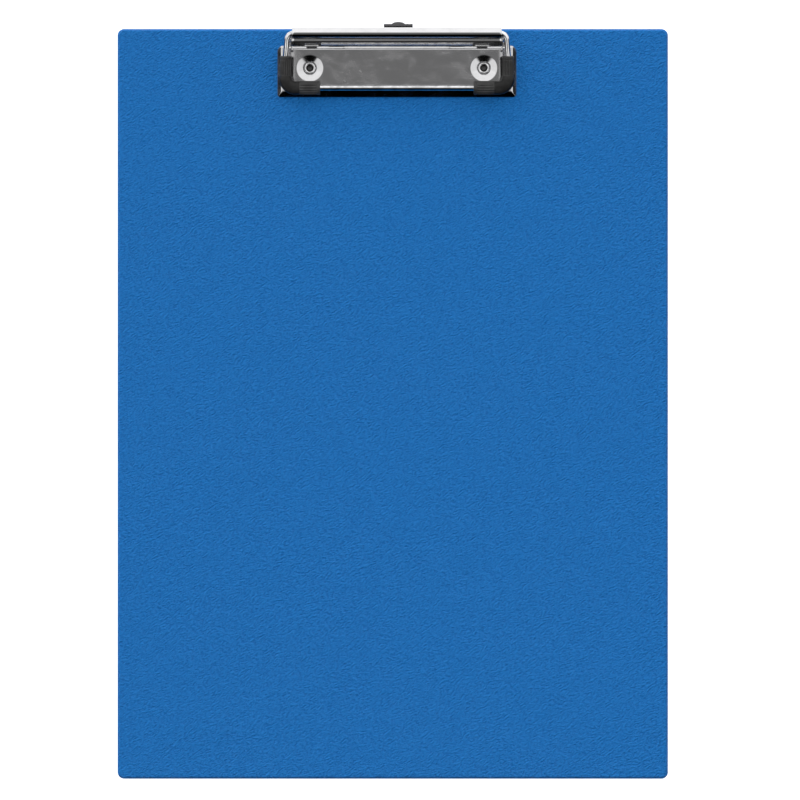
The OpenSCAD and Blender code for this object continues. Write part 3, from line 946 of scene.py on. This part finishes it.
RIVET_PROFILE = [
    (0.02, 0.16), (0.9, 0.15), (1.15, 0.06), (3.7, 0.05), (4.0, 0.1), (4.17, 0.25), (4.2, 0.42), (4.17, 0.6),
    (4.05, 0.68), (2.1, 0.68), (1.8, 0.74), (1.8, 3.3), (1.95, 3.42), (2.15, 3.43), (2.25, 3.5), (2.3, 3.62),
    (2.29, 3.8), (2.22, 3.96), (2.1, 4.07), (1.95, 4.12), (1.8, 4.11), (1.65, 4.04), (1.5, 3.9),
    (1.4, 3.7), (1.35, 3.45), (1.35, 1.5), (1.2, 1.2), (0.9, 1.0), (0.5, 0.92), (0.02, 0.9),
]


def rivet(side):
    """Tubular rivet, its rolled lip slightly uneven."""
    centre = (CLIP_X + side * RIVET_U * MM, TOP_Y + RIVET_V * MM, 0)
    obj = lathe("rivet_rolled", RIVET_PROFILE, centre, "Z", 72)
    for v in obj.data.vertices:
        if v.co.z > 3.5 * MM:
            a = math.atan2(v.co.y - centre[1], v.co.x - centre[0])
            v.co.z += 0.035 * MM * math.sin(3 * a + side)
    shade(obj, 32)
    return obj


def paint_bore_shade(obj, material):
    """Gives the inside of a rivet's bore a dark, dull plate: painted shade for the deep hole."""
    obj.data.materials.append(material)
    middle = sum((v.co for v in obj.data.vertices), Vector()) / len(obj.data.vertices)
    for face in obj.data.polygons:
        reach = math.hypot(face.center.x - middle.x, face.center.y - middle.y)
        if reach < 1.38 * MM and face.center.z > 0.85 * MM:
            face.material_index = 1


def hinge_rod():
    """The rod with a rounded head at each end."""
    half = LEVER_HALF + LEVER_T + 0.1
    head = [(0.02, 0.5), (0.7, 0.48), (1.1, 0.38), (1.33, 0.22), (1.4, 0.08), (1.35, 0.01), (1.0, 0.0)]
    left = [(r, -half - h) for r, h in head]
    right = [(r, half + h) for r, h in head]
    profile = left + [(1.0, -half + 0.05), (1.0, 0), (1.0, half - 0.05)] + right[::-1]
    centre = clip_to_world([(0, ROD_V, ROD_W)])[0]
    obj = lathe("hinge_rod_headed", profile, centre, "X", 40)
    shade(obj, 35)
    return obj


TAB_HALF, TAB_T, TAB_LIFT = 6.0, 0.8, 0.05
TAB_TAIL_V, TAB_SHOULDER_V, TAB_SHOULDER_HALF = -24.2, -20.4, 10.0
HANG_V, HANG_R = -12.6, 3.0
BEAD_V, BEAD_R = 1.25, 0.85
TAB_U = (TAB_X - CLIP_X) / MM


def hanging_tab():
    """Flat tail with its hole, a rolled bead across the end and a small thumb tongue."""
    half = [(TAB_SHOULDER_HALF, TAB_TAIL_V), (TAB_SHOULDER_HALF, TAB_SHOULDER_V),
            (TAB_HALF, TAB_SHOULDER_V), (TAB_HALF, BEAD_V)]
    outline = rounded_path(
        half + [(-u, v) for u, v in half[::-1]], (0.8, 0.8, 0.6, 0.2, 0.2, 0.6, 0.8, 0.8), closed=True
    )
    hole = arc((0, HANG_V), HANG_R, 0, 352, 8)

    def flat(p):
        return clip_to_world(p + np.array([TAB_U, 0, TAB_LIFT]))

    tail = plate_from_outline("tail", outline, [hole], TAB_T, flat, 0.14)
    middle = TAB_LIFT + TAB_T / 2
    bead_profile = [(0.05, -TAB_HALF), (0.6, -TAB_HALF), (0.78, -TAB_HALF + 0.06), (BEAD_R, -TAB_HALF + 0.22)]
    bead_profile += [(BEAD_R - 0.06 * math.cos(k * math.pi / 2) ** 2, -4.6 + k * 0.92) for k in range(11)]
    bead_profile += [(BEAD_R, TAB_HALF - 0.22), (0.78, TAB_HALF - 0.06), (0.6, TAB_HALF), (0.05, TAB_HALF)]
    bead = lathe("bead", bead_profile, clip_to_world([(TAB_U, BEAD_V, middle)])[0], "X", 36)
    tongue_outline = rounded_path(
        [(-3.5, BEAD_V - 0.3), (3.5, BEAD_V - 0.3), (3.2, 1.75), (2.0, 2.65), (0, 3.0),
         (-2.0, 2.65), (-3.2, 1.75)],
        (0, 0, 0.8, 1.5, 6.0, 1.5, 0.8), closed=True, step=6,
    )
    tongue = plate_from_outline("tongue", tongue_outline, [], TAB_T, flat, 0.18)
    obj = join("hanger_tab_pressed", [tail, bead, tongue])
    shade(obj, 35)
    return obj


# ---------------------------------------------------------------- the object

blue = leather_film()
nickel = plated("nickel_plate_bright", (0.62, 0.62, 0.63), 0.1, 0.2, (0.12, 1.6, 1.6))
hood_nickel = plated("nickel_hood_bright", (0.72, 0.72, 0.73), 0.07, 0.15, (0.1, 2.2, 2.2))
rivet_finish = plated("rivet_bright", (0.8, 0.8, 0.81), 0.12, 0.24, (1.2, 1.2, 0.6))
tab_finish = plated("tab_dark_plate", (0.09, 0.09, 0.092), 0.2, 0.34, (0.3, 1.8, 1.8))
bright_wire = drawn_wire("drawn_wire_bright", (0.8, 0.8, 0.81), 0.08, 0.18)
rod_wire = drawn_wire("hinge_rod_drawn", (0.55, 0.55, 0.56), 0.16, 0.3)
dark_wire = drawn_wire("spring_steel_drawn", (0.34, 0.34, 0.35), 0.2, 0.36)
# Dark, dull plate for the rivet bores: painted shade inside the deep holes.
bore_painted_shade = plated("rivet_bore_painted_shade", (0.16, 0.16, 0.16), 0.45, 0.6, (1.2, 1.2, 0.6))
rubber = moulded_rubber("moulded_black_rubber", 0.008, 0.02)
# Lighter rubber for the ribs and collars: a painted sheen that stands in for the highlights along their
# grooves.
rib_sheen_rubber = moulded_rubber("moulded_rubber_ribs_painted_sheen", 0.03, 0.055)
paper_board = pressed_board()

front = film_cover("front_film", rim_profile(False), FRONT_CUP)
place(front, "base", ["front_cover"], blue)
back = film_cover("back_film", rim_profile(True), BACK_CUP)
place(back, "base", ["back_cover"], blue)

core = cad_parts["core_board"]
core.data.materials.clear()
core.data.materials.append(paper_board)

plate = join("base_plate_pressed", [plate_shell(), hinge_lug(LEFT), hinge_lug(RIGHT)])
shade(plate, 35)
place(plate, "base", ["base_plate"], nickel)

hood = join("lever_hood_rolled", [lever_hood(), lever_cheek(LEFT), lever_cheek(RIGHT)])
shade(hood, 35)
place(hood, "jaw", ["lever"], hood_nickel)

place(jaw_wire(), "jaw", ["jaw_wire"], bright_wire)
place(hinge_rod(), "base", ["hinge_rod"], rod_wire)
place(hanging_tab(), "hanger", ["hanger_tab"], tab_finish)

for side, word in ((LEFT, "left"), (RIGHT, "right")):
    sleeve = grip(side)
    sleeve.name = "grip_sleeve_" + word
    place(sleeve, "jaw", ["grip_" + word], rubber)
    paint_rib_sheen(sleeve, rib_sheen_rubber)
    eyelet = rivet(side)
    eyelet.name = "rivet_rolled_" + word
    place(eyelet, "base", ["rivet_" + word], rivet_finish)
    paint_bore_shade(eyelet, bore_painted_shade)
    coil, ends = spring(side)
    coil.name = "torsion_spring_" + word
    coil.data.materials.append(dark_wire)
    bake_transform(coil)
    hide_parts("spring_" + word)

# ---------------------------------------------------------------- studio


def world_light():
    """Soft studio: bright behind and at the sides, dim overhead, dark in front."""
    world = bpy.data.worlds.new("studio")
    bpy.context.scene.world = world
    world.use_nodes = True
    tree = world.node_tree
    nodes, links = tree.nodes, tree.links
    ground = nodes["Background"]

    def math_node(kind, a, b=0.0):
        node = nodes.new("ShaderNodeMath")
        node.operation = kind
        for k, value in enumerate((a, b)):
            if isinstance(value, bpy.types.NodeSocket):
                links.new(value, node.inputs[k])
            else:
                node.inputs[k].default_value = value
        return node.outputs[0]

    def rising(value, low, high, out_low, out_high):
        node = nodes.new("ShaderNodeMapRange")
        node.interpolation_type = "SMOOTHSTEP"
        links.new(value, node.inputs["Value"])
        names = ("From Min", "From Max", "To Min", "To Max")
        for name, number in zip(names, (low, high, out_low, out_high)):
            node.inputs[name].default_value = number
        return node.outputs[0]

    where = nodes.new("ShaderNodeTexCoord")
    split = nodes.new("ShaderNodeSeparateXYZ")
    links.new(where.outputs["Generated"], split.inputs[0])
    x, y, z = split.outputs
    across = math_node("ABSOLUTE", x)
    behind = rising(y, 0.02, 0.3, 0.0, 1.25)
    leaning = math_node("ADD", across, math_node("MULTIPLY", y, 0.45))
    sideways = rising(leaning, 0.1, 0.3, 0.0, 1.1)
    beside = math_node("MULTIPLY", sideways, rising(z, 0.47, 0.55, 0.0, 1.0))
    upwards = rising(y, -0.7, -0.1, 0.0, 0.2)
    overhead = math_node("MULTIPLY", upwards, rising(across, 0.3, 0.6, 1.0, 0.03))
    best = math_node("MAXIMUM", math_node("MAXIMUM", behind, beside), overhead)
    links.new(best, ground.inputs["Strength"])
    ground.inputs["Color"].default_value = (1, 1, 1, 1)
    seen = nodes.new("ShaderNodeBackground")
    seen.inputs["Strength"].default_value = 1.0
    seen.inputs["Color"].default_value = (1, 1, 1, 1)
    ray = nodes.new("ShaderNodeLightPath")
    mix = nodes.new("ShaderNodeMixShader")
    links.new(ray.outputs["Is Camera Ray"], mix.inputs["Fac"])
    links.new(ground.outputs[0], mix.inputs[1])
    links.new(seen.outputs[0], mix.inputs[2])
    links.new(mix.outputs[0], nodes["World Output"].inputs["Surface"])


def sun(name, strength, direction, size):
    """Broad light from a direction, size degrees wide, that leaves no glint on metal."""
    data = bpy.data.lights.new(name, "SUN")
    data.energy = strength
    data.angle = math.radians(size)
    data.use_shadow = False
    obj = bpy.data.objects.new(name, data)
    bpy.context.scene.collection.objects.link(obj)
    obj.rotation_euler = Vector(direction).to_track_quat("Z", "Y").to_euler()
    obj.visible_glossy = False


world_light()
sun("soft_key", 1.3, (-0.62, 0.62, 0.62), 12)

FLOOR_HALF = 60.0
FLOOR_Z = -0.0004

floor_mesh = bpy.data.meshes.new("studio_floor")
floor_corners = [(FLOOR_HALF * a, FLOOR_HALF * b, 0) for a, b in ((-1, -1), (1, -1), (1, 1), (-1, 1))]
floor_mesh.from_pydata(floor_corners, [], [(0, 1, 2, 3)])
floor = bpy.data.objects.new("studio_floor", floor_mesh)
floor.location.z = FLOOR_Z
bpy.context.scene.collection.objects.link(floor)
floor_finish = Finish("studio_floor_white", Roughness=0.9, Specular_IOR_Level=0.0)
floor_finish.shader.inputs["Base Color"].default_value = (0.9, 0.9, 0.9, 1)
floor_finish.shader.inputs["Emission Color"].default_value = (1, 1, 1, 1)
floor_finish.shader.inputs["Emission Strength"].default_value = 0.6
floor_mesh.materials.append(floor_finish.material)
floor.visible_glossy = False

# ---------------------------------------------------------------- camera

# The camera looks straight down, and the board's width fills this share of the picture.
CAMERA_X, CAMERA_Y, CAMERA_HEIGHT = 0.0030, 0.0016, 4.0
FRAME_SHARE = 0.688
SENSOR_W = 36

camera_data = bpy.data.cameras.new("camera")
camera_data.sensor_width = SENSOR_W
camera_data.lens = SENSOR_W * (CAMERA_HEIGHT - FACE_Z) / (BOARD_W * MM / FRAME_SHARE)
camera_data.clip_start = 0.05
camera_data.clip_end = 200
camera = bpy.data.objects.new("camera", camera_data)
camera.location = (CAMERA_X, CAMERA_Y, CAMERA_HEIGHT)
bpy.context.scene.collection.objects.link(camera)
bpy.context.scene.camera = camera
bpy.context.scene.view_settings.view_transform = "Standard"
